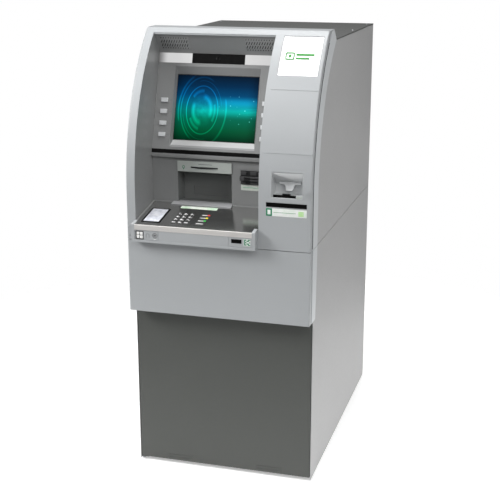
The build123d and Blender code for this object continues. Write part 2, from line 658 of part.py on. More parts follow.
def shelf_trim():
    edge = desk_point(0)[0]
    low, back = 841.3, edge + 3
    outline = [(edge, low), (edge, DESK_Z - 1), (edge + 1, DESK_Z), (back, DESK_Z + 0.4), (back, low)]
    return prism(outline, SHELF[0] + CHEEK + 0.1, SHELF[1] - CHEEK - 0.1)


def desk_top():
    bend = (FRONT - SHELF_FRONT + 0.6) / math.cos(SLOPE_RAD)
    back = (Y_WALL - SHELF_FRONT - 1.2) / math.cos(SLOPE_RAD)
    desk = box(SHELF[0] + CHEEK + 0.2, SHELF[1] - CHEEK - 0.2, 3.6, bend, -3, 0)
    desk += box(RECESS_LEFT + 0.3, RECESS_RIGHT - 0.3, bend, back, -3, 0)
    desk += box(RECESS_LEFT + 0.3, RECESS_LEFT + 6, bend, back, 0, 2)  # upstand at the left
    for u0, u1 in ((RECESS_LEFT + 0.3, TRAY[0] - 1), (TRAY[1] + 1, RECESS_RIGHT - 0.3)):
        desk += box(u0, u1, back - 5, back, 0, 2)  # upstand at the back, on both sides of the tray
    u0, u1, v0, v1 = PAD
    desk -= box(u0 + 3, u1 - 3, v0 + 3, v1 - 3, -4, 1)
    half = KEY / 2 + KEY_GAP
    for row in range(4):
        v = KEY_V0 + KEY_PITCH * row
        for u in KEY_U:
            desk -= box(u - half, u + half, v - half, v + half, -4, 1)
        desk -= box(FUNCTION_KEY[0] - KEY_GAP, FUNCTION_KEY[1] + KEY_GAP, v - half, v + half, -4, 1)
    return DESK_PLANE * desk


def desk_key(u0, u1, v):
    """One key with its hidden flange; the centre of its row is v up the desk."""
    half = KEY / 2
    cap = box(u0, u1, v - half, v + half, -5, 1.6)
    cap = fillet(cap.edges().group_by(Axis.Z)[-1], 0.8)
    cap += box(u0 - 0.9, u1 + 0.9, v - half - 0.9, v + half + 0.9, -5, -3.6)
    return DESK_PLANE * cap


def touch_pad():
    u0, u1, v0, v1 = PAD
    pad = box(u0, u1, v0, v1, 0, 1) + box(u0 + 3.4, u1 - 3.4, v0 + 3.4, v1 - 3.4, -7, 0)
    return DESK_PLANE * pad


def rocker_switch():
    face, axle = SHELF_FRONT + 1.2, SHELF_FRONT + 6.2
    rocker = box(-257.6, -236.4, face, face + 3, 813.6, 835.4)
    rocker = fillet(rocker.edges().filter_by(Axis.X).group_by(Axis.Y)[0], 1)
    return rocker + Pos(-247, axle, 824.5) * Rot(0, 90, 0) * Cylinder(4, 20)


# ---- write every node ---------------------------------------------------------------------
PARTS = [
    levelling_feet, vault_body, vault_side_panels, rear_panel, upper_side_panels, top_panel,
    upper_surround, computer_unit, safe_door, safe_handle, combination_dial, lock_bolts,
    lower_surround, lower_fascia, dispenser_unit, cash_cassettes, fascia_shell, recess_upper,
    recess_lower, light_bar, camera_window, screen, accent_strips, note_niche, cash_shutter,
    tray_plate, receipt_printer, card_reader, sign_panel, deposit_recess, deposit_shutter,
    shelf_housing, shelf_trim, desk_top, touch_pad, rocker_switch,
]
for make in PARTS:
    save(make.__name__, make())

for side, u in zip(("left", "right"), SIDE_KEY_U):
    for number, v in enumerate(SIDE_KEY_V, 1):
        save(f"side_key_{side}_{number}", side_key(u, v))

for row in range(4):
    v = KEY_V0 + KEY_PITCH * (3 - row)
    for column, u in enumerate(KEY_U):
        save(f"digit_key_{3 * row + column + 1}", desk_key(u - KEY / 2, u + KEY / 2, v))
    save(f"function_key_{row + 1}", desk_key(*FUNCTION_KEY, v))
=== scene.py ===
import json
import math

import bpy
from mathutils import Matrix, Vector


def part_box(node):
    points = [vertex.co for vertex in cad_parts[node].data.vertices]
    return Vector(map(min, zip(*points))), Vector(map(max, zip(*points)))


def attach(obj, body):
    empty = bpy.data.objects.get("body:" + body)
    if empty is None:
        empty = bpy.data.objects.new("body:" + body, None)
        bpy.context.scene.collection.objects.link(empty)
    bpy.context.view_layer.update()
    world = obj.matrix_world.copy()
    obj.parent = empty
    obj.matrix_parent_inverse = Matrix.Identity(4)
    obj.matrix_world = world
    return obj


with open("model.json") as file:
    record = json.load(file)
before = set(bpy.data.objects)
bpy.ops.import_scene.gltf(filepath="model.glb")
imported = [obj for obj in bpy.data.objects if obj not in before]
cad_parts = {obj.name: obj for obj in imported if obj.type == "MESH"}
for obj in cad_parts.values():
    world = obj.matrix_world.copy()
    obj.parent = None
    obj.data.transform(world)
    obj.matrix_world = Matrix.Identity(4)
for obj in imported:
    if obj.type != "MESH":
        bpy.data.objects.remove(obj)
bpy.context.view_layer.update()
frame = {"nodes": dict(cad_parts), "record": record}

# ---- datum: millimetres, with Y from the safe door's front plane -----------------------------
MM = 0.001
DOOR_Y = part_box("safe_door")[0].y
RECESS_LEFT, RECESS_RIGHT = -271.0, 134.0
FRONT_Y = -53.0  # upright part of the fascia's face
BEND_Z = 960.0  # height at which that face starts to curve back
BEND_R = 665.0  # radius of the curve
LEAN = math.radians(16.95)  # screen panel, back from upright
SLOPE = math.radians(10.3)  # desk, up from level
PANEL_FOOT = (0, 105, 1067)
PANEL_HEIGHT = 314
DESK_FRONT = (0, -82.4, 858)
CEILING_FRONT = (0, 151, 1434.9)
GLASS_W = -17.0  # display glass, measured out of the screen panel
WALL_Y = 108
SHELF_Y = -81.6
BACK_Y = 948.8
RIGHT_X = 299
TOP_Z = 1418


def at(x, y, z):
    """Point of the CAD's own millimetres, in the row frame."""
    return Vector((x * MM, DOOR_Y + y * MM, z * MM))


def flat(origin, right, out):
    """Placing rule for a plane: u to the right, v up it, w out of it."""
    right, out = Vector(right).normalized(), Vector(out).normalized()
    up = out.cross(right)
    return lambda u, v, w: origin + (right * u + up * v + out * w) * MM


def on_front(y):
    """Placing rule for an upright plane that faces the customer: u is X and v is Z."""
    return flat(at(0, y, 0), (1, 0, 0), (0, -1, 0))


def ramp(foot, tip):
    """Placing rule for a sloping face: u to the right, v from its foot to its tip, w out of it."""
    up = (tip - foot).normalized()
    return flat(foot, (1, 0, 0), (0, -up.z, up.y))


def curved_front(u, v, w):
    """Placing rule for the fascia's face, which curves back above the bend; v is Z there too."""
    if v <= BEND_Z:
        return at(u, FRONT_Y - w, v)
    turn = math.asin((v - BEND_Z) / BEND_R)
    reach = BEND_R + w
    return at(u, FRONT_Y + BEND_R - reach * math.cos(turn), BEND_Z + reach * math.sin(turn))


PANEL = flat(at(*PANEL_FOOT), (1, 0, 0), (0, -math.cos(LEAN), math.sin(LEAN)))
DESK = flat(at(*DESK_FRONT), (1, 0, 0), (0, -math.sin(SLOPE), math.cos(SLOPE)))
CEILING = ramp(PANEL(0, PANEL_HEIGHT, 0), at(*CEILING_FRONT))
SILL = ramp(PANEL(0, 8, 0), PANEL(0, 34, GLASS_W))
WALL = on_front(WALL_Y)
SHELF = on_front(SHELF_Y)
LOW_FRONT = on_front(FRONT_Y)
BACK = flat(at(0, BACK_Y, 0), (-1, 0, 0), (0, 1, 0))
RIGHT = flat(at(RIGHT_X, 0, 0), (0, 1, 0), (1, 0, 0))
TOP = flat(at(0, 0, TOP_Z), (1, 0, 0), (0, 0, 1))


# ---- mesh building ---------------------------------------------------------------------------
SMALLEST = 0.02  # radius of the smallest ring, where a turned piece closes on its axis
CORNER_STEPS = 5
EDGE_TURNS = (0, 0.52, 1.05, 1.57)  # radians along the quarter round of a softened edge


def rounded(u0, u1, v0, v1, radius, inset):
    """Rounded rectangle, pulled in all round by inset."""
    radius = max(radius - inset, SMALLEST)
    left, right = u0 + inset + radius, u1 - inset - radius
    low, high = v0 + inset + radius, v1 - inset - radius
    points = []
    for quarter, (cu, cv) in enumerate(((right, high), (left, high), (left, low), (right, low))):
        for step in range(CORNER_STEPS + 1):
            turn = math.pi / 2 * (quarter + step / CORNER_STEPS)
            points.append((cu + radius * math.cos(turn), cv + radius * math.sin(turn)))
    return points


def circle(u, v, radius, steps):
    turns = [2 * math.pi * i / steps for i in range(steps)]
    return [(u + radius * math.cos(t), v + radius * math.sin(t)) for t in turns]


def grown(box, by):
    """The box (u0, u1, v0, v1), larger all round."""
    u0, u1, v0, v1 = box
    return u0 - by, u1 + by, v0 - by, v1 + by


def moved(box, u, v):
    """The box (u0, u1, v0, v1), measured from the point u and v."""
    u0, u1, v0, v1 = box
    return u + u0, u + u1, v + v0, v + v1


class Build:
    """Collects closed shells, each made from rings of points, into one mesh."""

    def __init__(self, place):
        self.place, self.points, self.faces = place, [], []

    def rings(self, rings, closed=False):
        """Skin over (outline, height) rings.

        Closed joins the last ring to the first. Otherwise both ends are capped.
        """
        size, base = len(rings[0][0]), len(self.points)
        for outline, height in rings:
            self.points += [self.place(u, v, height) for u, v in outline]
        count = len(rings)
        for k in range(count if closed else count - 1):
            a, b = base + k * size, base + (k + 1) % count * size
            for i in range(size):
                j = (i + 1) % size
                self.faces.append((a + i, a + j, b + j, b + i))
        if not closed:
            self.faces.append(tuple(base + i for i in reversed(range(size))))
            top = base + (count - 1) * size
            self.faces.append(tuple(top + i for i in range(size)))
        return self

    def plate(self, u0, u1, v0, v1, w0, w1, radius, soft):
        """Rounded plate with a softened upper edge."""
        soft = min(soft, (w1 - w0) * 0.8, radius * 0.9 + SMALLEST)
        rings = [(rounded(u0, u1, v0, v1, radius, 0), w0)]
        for turn in EDGE_TURNS:
            outline = rounded(u0, u1, v0, v1, radius, soft * (1 - math.cos(turn)))
            rings.append((outline, w1 - soft + soft * math.sin(turn)))
        return self.rings(rings)

    def frame(self, u0, u1, v0, v1, width, w0, w1, radius, soft):
        """Rounded frame with softened edges: width is how far it reaches inwards."""
        bit = soft * 0.3
        section = [
            (0, w0), (0, w1 - soft), (bit, w1 - bit), (soft, w1),
            (width - soft, w1), (width - bit, w1 - bit), (width, w1 - soft), (width, w0)]
        rings = [(rounded(u0, u1, v0, v1, radius, inset), height) for inset, height in section]
        return self.rings(rings, closed=True)

    def lathe(self, u, v, profile, steps=32):
        """Turned piece from (radius, height) pairs."""
        return self.rings([(circle(u, v, radius, steps), height) for radius, height in profile])

    def screw(self, u, v, radius, proud):
        """Pan-head screw with a round socket."""
        head = ((1, 0), (1, 0.5), (0.86, 0.9), (0.6, 1), (0.42, 1), (0.4, 0.35))
        profile = [(radius * wide, proud * high) for wide, high in head]
        return self.lathe(u, v, profile + [(SMALLEST, profile[-1][1])], 24)

    def strip(self, path, half, w0, w1):
        """Ribbon along (u, v) points that reaches half to each side of them."""
        base, last = len(self.points), len(path) - 1
        for i, (u, v) in enumerate(path):
            before, after = path[max(i - 1, 0)], path[min(i + 1, last)]
            run = Vector((after[0] - before[0], after[1] - before[1])).normalized() * half
            for side, w in ((-1, w0), (1, w0), (1, w1), (-1, w1)):
                self.points.append(self.place(u + side * run.y, v - side * run.x, w))
        for a in range(base, base + 4 * last, 4):
            for i in range(4):
                j = (i + 1) % 4
                self.faces.append((a + j, a + i, a + 4 + i, a + 4 + j))
        self.faces.append(tuple(range(base, base + 4)))
        self.faces.append(tuple(reversed(range(base + 4 * last, base + 4 * last + 4))))
        return self

    def done(self, name, look, body="fascia_door", slot=None):
        """Turn the shells into one piece that rides on body."""
        mesh = bpy.data.meshes.new(name)
        mesh.from_pydata(self.points, [], self.faces)
        mesh.validate()
        adopt(bpy.data.objects.new(name, mesh), look, body)


def adopt(piece, look, body, smooth=40):
    """Link a piece, give it its finish and put it on its body."""
    bpy.context.scene.collection.objects.link(piece)
    piece.data.materials.append(look)
    piece.data.shade_smooth()
    piece.data.set_sharp_from_angle(angle=math.radians(smooth))
    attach(piece, body)


def plate(name, place, box, heights, edges, look, body="fascia_door", slot=None):
    """Piece of one plate: box (u0, u1, v0, v1), heights (w0, w1), edges (corner radius, softening)."""
    Build(place).plate(*box, *heights, *edges).done(name, look, body, slot)


# ---- material building -----------------------------------------------------------------------
def srgb(r, g, b):
    """Linear colour of 0-255 display values."""
    def linear(c):
        c /= 255
        return c / 12.92 if c <= 0.04045 else ((c + 0.055) / 1.055) ** 2.4

    return linear(r), linear(g), linear(b), 1.0


def shade(colour, factor):
    return tuple(min(c * factor, 1.0) for c in colour[:3]) + (1.0,)


class Look:
    """A material's node tree, with short names for what the finishes below use."""

    def __init__(self, name):
        self.material = bpy.data.materials.new(name)
        self.material.use_nodes = True
        self.tree = self.material.node_tree
        self.shader = self.tree.nodes["Principled BSDF"]
        self.where = self.node("TexCoord").outputs["Object"]

    def node(self, kind, inputs=None, **settings):
        made = self.tree.nodes.new("ShaderNode" + kind)
        for key, value in settings.items():
            setattr(made, key, value)
        for key, value in (inputs or {}).items():
            self.feed(made.inputs[key], value)
        return made

    def feed(self, socket, value):
        """Link a Value or a socket, or set a constant."""
        if isinstance(value, Value):
            value = value.socket
        if isinstance(value, bpy.types.NodeSocket):
            self.tree.links.new(value, socket)
        else:
            socket.default_value = value

    def constant(self, **values):
        """Set shader inputs, named with underscores for spaces."""
        for key, value in values.items():
            self.shader.inputs[key.replace("_", " ")].default_value = value

    def noise(self, size, detail=2.0, rough=0.5, stretch=None, seed=0.0):
        """Noise whose blobs are about size metres across."""
        where = self.where
        if stretch or seed:
            moved = {"Vector": where, "Scale": stretch or (1, 1, 1), "Location": (seed, seed, seed)}
            where = self.node("Mapping", moved).outputs["Vector"]
        settings = {"Vector": where, "Scale": 1 / size, "Detail": detail, "Roughness": rough}
        return Value(self, self.node("TexNoise", settings).outputs["Fac"])

    def mix(self, amount, first, second):
        return self.node("MixRGB", {"Fac": amount, "Color1": first, "Color2": second}).outputs["Color"]

    def axes(self):
        parts = self.node("SeparateXYZ", {"Vector": self.where}).outputs
        return [Value(self, parts[i]) for i in range(3)]


class Value:
    """A number in a node tree, with ordinary arithmetic."""

    def __init__(self, look, socket):
        self.look, self.socket = look, socket

    def math(self, operation, *others):
        made = self.look.node("Math", operation=operation)
        for socket, value in zip(made.inputs, (self,) + others):
            self.look.feed(socket, value)
        return Value(self.look, made.outputs[0])

    def __add__(self, other):
        return self.math("ADD", other)

    def __sub__(self, other):
        return self.math("SUBTRACT", other)

    def __mul__(self, other):
        return self.math("MULTIPLY", other)

    def __truediv__(self, other):
        return self.math("DIVIDE", other)

    def over(self, low, high, to_low=0.0, to_high=1.0):
        """Remap low..high, clamped."""
        limits = {"From Min": low, "From Max": high, "To Min": to_low, "To Max": to_high}
        made = self.look.node("MapRange", {"Value": self, **limits})
        return Value(self.look, made.outputs["Result"])

    def smooth(self, low, high):
        """0 at low and 1 at high, with eased ends."""
        limits = {"From Min": low, "From Max": high}
        made = self.look.node("MapRange", {"Value": self, **limits}, interpolation_type="SMOOTHSTEP")
        return Value(self.look, made.outputs["Result"])

    def near(self, centre, half):
        """1 at centre, falling to 0 at half away."""
        return (self - centre).math("ABSOLUTE").over(0, half, 1, 0)


# metres
PATCH_SIZE = 0.11  # soft tone patches
SCUFF_SIZE = 0.012  # scuffs, which show as uneven gloss and along the edges
EDGE_RADIUS = 0.0006  # by which the shading rounds every edge


def finish(name, colour, rough, metallic=0.0, mottle=0.04, grain=0.0007, depth=0.00004, wear=0.3,
           brushed=None, coat=0.0, glow=0.0, scuffs=0.05, shine=0.5):
    """Finish with soft tone patches, fine grain in bump and roughness, rounded and rubbed edges."""
    look = Look(name)
    patches, scuffed = look.noise(PATCH_SIZE, 4, 0.6), look.noise(SCUFF_SIZE, 5, 0.65, seed=3.0)
    fine = look.noise(grain, 2, 0.5, stretch=brushed)
    bevel = look.node("Bevel", {"Radius": EDGE_RADIUS}, samples=4).outputs["Normal"]
    flat_normal = look.node("NewGeometry").outputs["Normal"]
    facing = look.node("VectorMath", {0: bevel, 1: flat_normal}, operation="DOT_PRODUCT")
    at_edge = Value(look, facing.outputs["Value"]).over(0.995, 0.85)
    rubbed = at_edge * scuffed.over(0.35, 0.6) * wear
    tone = patches.over(0.3, 0.7) * 0.6 + fine.over(0.3, 0.7) * 0.4
    body = look.mix(tone, shade(colour, 1 - mottle), shade(colour, 1 + mottle))
    body = look.mix(rubbed, body, shade(colour, 1.2 if metallic else 1.45))
    look.constant(Metallic=metallic, Specular_IOR_Level=shine, Coat_Weight=coat, Coat_Roughness=0.22)
    uneven = scuffed.over(0.3, 0.7, rough - scuffs, rough + scuffs) + rubbed * 0.15 + fine * 0.04
    bump = look.node("Bump", {"Height": fine, "Strength": 0.6, "Distance": depth, "Normal": bevel})
    look.feed(look.shader.inputs["Base Color"], body)
    look.feed(look.shader.inputs["Roughness"], uneven)
    look.feed(look.shader.inputs["Normal"], bump.outputs["Normal"])
    # Glow makes the surface give off light of its own: painted light on the sign face, which is no lamp.
    if glow:
        look.feed(look.shader.inputs["Emission Color"], body)
        look.constant(Emission_Strength=glow)
    return look.material


FIELD_STOPS = (  # colours of the display's field, from its foot to its top
    (0.0, (0, 50, 28)), (0.16, (0, 98, 60)), (0.33, (0, 122, 92)), (0.47, (4, 142, 136)),
    (0.58, (4, 122, 152)), (0.7, (0, 82, 132)), (0.84, (0, 52, 92)), (1.0, (0, 26, 50)))
RINGS_CENTRE, RINGS_REACH = (0.33, 0.47), (0.195, 0.37)  # as shares of the display's size


def picture(name, corner, size):
    """Abstract display picture: blue to green field, turned rings on the left, a band on the right."""
    look = Look(name)
    x, _, z = look.axes()
    s, t = (x - corner.x) / size[0], (z - corner.z) / size[1]
    gradient = look.node("ValToRGB", {"Fac": t})
    stops = gradient.color_ramp.elements
    while len(stops) < len(FIELD_STOPS):
        stops.new(0.5)
    for stop, (place, colour) in zip(stops, FIELD_STOPS):
        stop.position, stop.color = place, srgb(*colour)
    du, dv = (s - RINGS_CENTRE[0]) / RINGS_REACH[0], (t - RINGS_CENTRE[1]) / RINGS_REACH[1]
    reach = (du * du + dv * dv).math("SQRT")
    angle = dv.math("ARCTAN2", du)

    def arcs(radius, half, turns, shift, low, high):
        """Ring at radius, cut into arcs by a sine of the angle."""
        return reach.near(radius, half) * (angle * turns + shift).math("SINE").smooth(low, high)

    fine_line = reach.near(1.0, 0.035)
    inner, broad = arcs(0.56, 0.16, 2, 0.6, -0.7, 0.1), arcs(0.8, 0.1, 3, 2.0, 0.1, 0.3)
    outer = arcs(1.36, 0.05, 1, -1.1, -0.1, 0.2) + arcs(1.52, 0.07, 2, 2.4, 0.0, 0.25)
    outer = outer + arcs(1.22, 0.018, 2, -0.4, -0.2, 0.1)
    core = reach.over(0.0, 0.75, 0.8, 0.0) * look.noise(0.03, 5, 0.6).over(0.3, 0.65)
    rings = fine_line * 2.8 + inner * 2.0 + core * 2.2 + broad * 1.6 + outer * 1.9
    band = t.near(0.6, 0.11).smooth(0, 1) * s.smooth(0.3, 0.75)
    low_band = t.near(0.47, 0.13).smooth(0, 1) * s.smooth(0.2, 0.6)
    cells = look.node("TexVoronoi", {"Vector": look.where, "Scale": 90.0, "Randomness": 0.9})
    dots = Value(look, cells.outputs["Distance"]).over(0.2, 0.12)
    dots = dots * look.noise(0.02, 1, seed=7.0).over(0.5, 0.56) * s.smooth(0.45, 0.9) * t.near(0.5, 0.32)
    threads = (t * 46).math("FRACT").near(0.5, 0.09) * t.near(0.47, 0.06).over(0, 0.3)
    threads = threads * s.smooth(0.7, 0.95)
    lift = rings * s.over(0.0, 0.9, 1.0, 0.75) + band * 1.5 + low_band * 1.3 + dots * 6.0 + threads * 3.0
    edge = s.near(0.5, 0.56).smooth(0, 0.35) * 0.65 + 0.35
    strength = {0: gradient.outputs["Color"], "Scale": (lift * 0.75 + 0.75) * edge}
    lit = look.node("VectorMath", strength, operation="SCALE").outputs["Vector"]
    glint = look.mix(dots.math("MINIMUM", 0.6), lit, srgb(120, 235, 235))
    look.constant(Base_Color=srgb(2, 4, 5), Roughness=0.3, Specular_IOR_Level=0.03, Emission_Strength=1.0)
    look.feed(look.shader.inputs["Emission Color"], glint)
    return look.material


def label(name, colour, wash, glow=0.0):
    """Printed label: its tone with a soft wash of a second colour and fine grey flecks."""
    look = Look(name)
    fleck, soft = look.noise(0.0009, 2), look.noise(0.02, 3, seed=5.0)
    tone = look.mix(soft.over(0.35, 0.65), srgb(*colour), srgb(*wash))
    flecked = look.mix(fleck.over(0.3, 0.9, 0, 0.08), tone, srgb(150, 150, 150))
    look.feed(look.shader.inputs["Base Color"], flecked)
    look.feed(look.shader.inputs["Roughness"], fleck.over(0.3, 0.7, 0.32, 0.42))
    # Glow makes the label give off light of its own; on the printed key dots and the tray label this is
    # painted glow.
    if glow:
        look.feed(look.shader.inputs["Emission Color"], tone)
        look.constant(Emission_Strength=glow)
    return look.material


def diffuser():
    """Frosted light bar that glows. Its glow dims to the right as painted shading, and fades out at its
    left-hand end as a painted shadow of the recess's left cheek.
    """
    look = Look("diffuser")
    tone = look.mix(look.noise(0.0012, 2), srgb(108, 108, 108), srgb(116, 116, 116))
    look.feed(look.shader.inputs["Base Color"], tone)
    look.constant(Roughness=0.4, Specular_IOR_Level=0.2, Emission_Color=(1, 1, 1, 1))
    x = look.axes()[0]
    # The glow's strength carries painted shade: a painted shadow at the left-hand end and a painted
    # dimming towards the right.
    lit = x.smooth(-0.272, -0.238) * x.over(-0.1, 0.13, 0.45, 0.37) + 0.1
    look.feed(look.shader.inputs["Emission Strength"], lit + look.noise(0.02, 2) * 0.02)
    return look.material


# ---- finishes --------------------------------------------------------------------------------
BRUSH_X, BRUSH_Z = (1, 40, 40), (40, 40, 1)
SPRAYED = {"rough": 0.5, "grain": 0.0011, "depth": 0.00006}
PRINTED = {"grain": 0.0004, "wear": 0.0}
SLOTS = {
    "fascia_grey": finish("fascia_paint", srgb(168, 171, 173), 0.42, coat=0.15, mottle=0.012),
    "cabinet_grey": finish("cabinet_coat", srgb(174, 174, 174), mottle=0.02, **SPRAYED),
    "dark_paint": finish("dark_coat", srgb(88, 89, 86), mottle=0.03, **SPRAYED),
    "vault_paint": finish("vault_primer", srgb(98, 101, 103), 0.55, grain=0.0016, depth=0.0001),
    "liner_grey": finish("liner_plastic", srgb(134, 135, 135), 0.36, mottle=0.02, coat=0.45),
    "niche_dark": finish("niche_plastic", srgb(116, 118, 117), 0.45),
    "printer_grey": finish("printer_plastic", srgb(176, 181, 177), 0.45, mottle=0.02),
    "desk_dark": finish("desk_metal", srgb(200, 200, 199), 0.14, metallic=0.95, grain=0.0009,
                        depth=0.000001, mottle=0.04, scuffs=0.012),
    "key_dark": finish("key_enamel", srgb(58, 58, 58), 0.35, grain=0.0005, mottle=0.05),
    "side_key_grey": finish("side_key_plastic", srgb(206, 208, 210), 0.4, grain=0.0005, mottle=0.02),
    "gloss_black": finish("gloss_black", srgb(13, 13, 13), 0.3, grain=0.0005, depth=0.00001,
                          mottle=0.1, shine=0.12),
    "black_plastic": finish("black_plastic", srgb(30, 30, 31), 0.4, grain=0.0004, mottle=0.1),
    "diffuser_white": diffuser(),
    # The white sign face glows: painted light, as the sign is no lamp.
    "sign_white": finish("sign_face_painted_glow", srgb(250, 250, 250), 0.25, grain=0.002, mottle=0.004,
                         glow=0.35, wear=0.0),
    "screen_glass": finish("screen_case", srgb(24, 26, 28), 0.2, grain=0.0006),
    "trim_silver": finish("trim_metal", srgb(222, 219, 216), 0.42, metallic=0.35, grain=0.0006,
                          brushed=BRUSH_X, mottle=0.05),
    "satin_steel": finish("satin_steel", srgb(190, 192, 195), 0.34, metallic=0.9, grain=0.0005,
                          brushed=BRUSH_X, mottle=0.06),
    "zinc_steel": finish("zinc_plate", srgb(178, 180, 182), 0.4, metallic=0.8, grain=0.004, mottle=0.1),
    "dispenser_metal": finish("anodised_plate", srgb(150, 154, 158), 0.38, metallic=0.7,
                              grain=0.0006, brushed=BRUSH_Z),
    "cassette_plastic": finish("cassette_plastic", srgb(52, 58, 68), 0.45, grain=0.0009, mottle=0.06),
    "switch_white": finish("switch_plastic", srgb(236, 236, 234), 0.3, grain=0.0004, mottle=0.015),
}
# Lighter copy of the fascia paint for the surround's rim: painted light, for light the sideways-facing
# rim band would catch if it faced forward like the fascia.
rim_painted_light = finish("rim_painted_light", srgb(207, 210, 212), 0.42, coat=0.15, mottle=0.015)
OWN_LOOK = {  # nodes that differ a little from the rest of their slot
    "upper_surround": rim_painted_light,
    "lower_surround": rim_painted_light,
    "safe_door": finish("safe_coat", srgb(73, 75, 72), mottle=0.03, **SPRAYED),
    "top_panel": finish("top_coat", srgb(91, 92, 91), mottle=0.03, **SPRAYED),
    "tray_plate": finish("tray_steel", srgb(184, 185, 187), 0.38, metallic=0.25, grain=0.0006,
                         brushed=BRUSH_X, mottle=0.03),
    "deposit_shutter": SLOTS["gloss_black"],
    # Mid-grey of the rocker's body, which shows in the gaps between its white caps: painted shade, so
    # those gaps read dark.
    "rocker_switch": finish("rocker_gap_painted_shade", srgb(96, 98, 98), 0.5, grain=0.0004),
    "deposit_recess": finish("deposit_paint", srgb(206, 208, 209), 0.42, mottle=0.015),
}
WELD_DISTANCE = 1e-5
for sub in frame["record"]["subparts"]:
    node = frame["nodes"][sub["node"]]
    node.data.materials.clear()
    node.data.materials.append(OWN_LOOK.get(sub["node"]) or SLOTS[sub["material_slot"]])
    weld = node.modifiers.new("weld", "WELD")
    weld.merge_threshold = WELD_DISTANCE

mark_white = finish("mark_white", srgb(238, 238, 238), 0.4, mottle=0.01, **PRINTED)
line_grey = finish("line_grey", srgb(112, 114, 115), 0.5, **PRINTED)
soft_line = finish("soft_line", srgb(142, 145, 147), 0.5, **PRINTED)
dark_rubber = finish("dark_rubber", srgb(38, 38, 38), 0.6, grain=0.0006, wear=0.0)
# Mid-grey of the seal strips in the groove beside the fascia: painted shade that darkens the groove.
seal_groove_painted_shade = finish("seal_groove_painted_shade", srgb(96, 98, 99), 0.6, grain=0.0006, wear=0.0)
# Near-black of the speaker slot strokes: painted shade of the slot openings.
speaker_slot_painted_shade = finish("speaker_slot_painted_shade", srgb(34, 34, 34), 0.9, grain=0.0006, wear=0.0, shine=0.1)
# Lighter copy of the liner plastic for the bezel's lower facet: a painted highlight.
sill_painted_highlight = finish("sill_painted_highlight", srgb(176, 177, 177), 0.3, mottle=0.015, coat=0.45)
worn_black = finish("reader_face", srgb(66, 66, 67), 0.42, grain=0.0004, mottle=0.08)
switch_grey = finish("switch_bezel_grey", srgb(62, 64, 65), 0.45, grain=0.0004)
ring_grey = finish("jack_ring_grey", srgb(134, 136, 137), 0.4, grain=0.0004)
etched = finish("etched_plate", srgb(150, 152, 152), 0.45, grain=0.0006, brushed=BRUSH_X)
paper = label("label_paper", (238, 240, 238), (226, 234, 226))
card_paper = label("card_paper", (208, 212, 206), (198, 206, 196))
green = label("label_green", (20, 122, 84), (30, 138, 92))
pale_green = label("label_pale_green", (176, 222, 150), (206, 232, 190))
sign_green = label("sign_green", (10, 140, 16), (14, 126, 20))
rule_mint = label("rule_mint", (150, 196, 168), (120, 178, 146))
rule_grey_green = label("rule_grey_green", (128, 170, 140), (140, 180, 150))
# Tray label paper that glows faintly: painted glow, as the label is no lamp.
mint_painted_glow = label("label_mint_painted_glow", (240, 246, 236), (200, 230, 200), 0.08)
pad_face = label("pad_display", (214, 216, 222), (178, 181, 190), 0.25)
# Coloured dots of the function keys glow: painted glow, as printed dots are no lamps; the green also
# lights the computer's power lamp, which is a real lamp.
red_mark_painted_glow = label("mark_red_painted_glow", (236, 40, 44), (214, 26, 34), 0.25)
yellow_mark_painted_glow = label("mark_yellow_painted_glow", (240, 236, 30), (226, 214, 20), 0.25)
green_painted_glow_and_lamp = label("mark_green_painted_glow_and_lamp", (32, 212, 62), (24, 190, 56), 0.25)


# ---- screen panel ----------------------------------------------------------------------------
GLASS = (-206, 68, 35, 246)
glass_low, glass_high = PANEL(GLASS[0], GLASS[2], GLASS_W), PANEL(GLASS[1], GLASS[3], GLASS_W)
display_size = (glass_high.x - glass_low.x, glass_high.z - glass_low.z)
plate("display_face", PANEL, grown(GLASS, 0.6), (GLASS_W - 0.4, GLASS_W + 0.5), (1.0, 0.3),
      picture("display_picture", glass_low, display_size), slot="screen_glass")
gasket = Build(PANEL).frame(*grown(GLASS, 2.6), 2.6, GLASS_W - 0.6, GLASS_W + 1.0, 1.6, 0.4)
gasket.done("display_gasket", dark_rubber, slot="black_plastic")

SPEAKERS = {"left": -253, "right": 32}  # U of each grille's first slot
GRILLE = (-7, 92, 14, 67)
SLOT_ROWS = ((20.5, 4.5), (32, 12.5), (47, 12.5), (61, 4.5))  # middle and length
SLOT_COLUMNS = 11
SLOT_PITCH = 8.5
SLOT_TILT = math.radians(25)
for side, u in SPEAKERS.items():
    plate(f"speaker_grille_{side}", CEILING, moved(GRILLE, u, 0), (-0.1, 0.4), (2.0, 0.2),
          SLOTS["liner_grey"], slot="liner_grey")
    # Dark strokes on the grille plate: painted shade standing in for the shaded openings of its slots.
    slots = Build(CEILING)
    for v, length in SLOT_ROWS:
        across, along = math.sin(SLOT_TILT) * length / 2, math.cos(SLOT_TILT) * length / 2
        for middle in (u + SLOT_PITCH * column for column in range(SLOT_COLUMNS)):
            slots.strip([(middle - across, v - along), (middle + across, v + along)], 1.15, 0.3, 0.5)
    slots.done(f"speaker_slots_{side}", speaker_slot_painted_shade, slot="black_plastic")

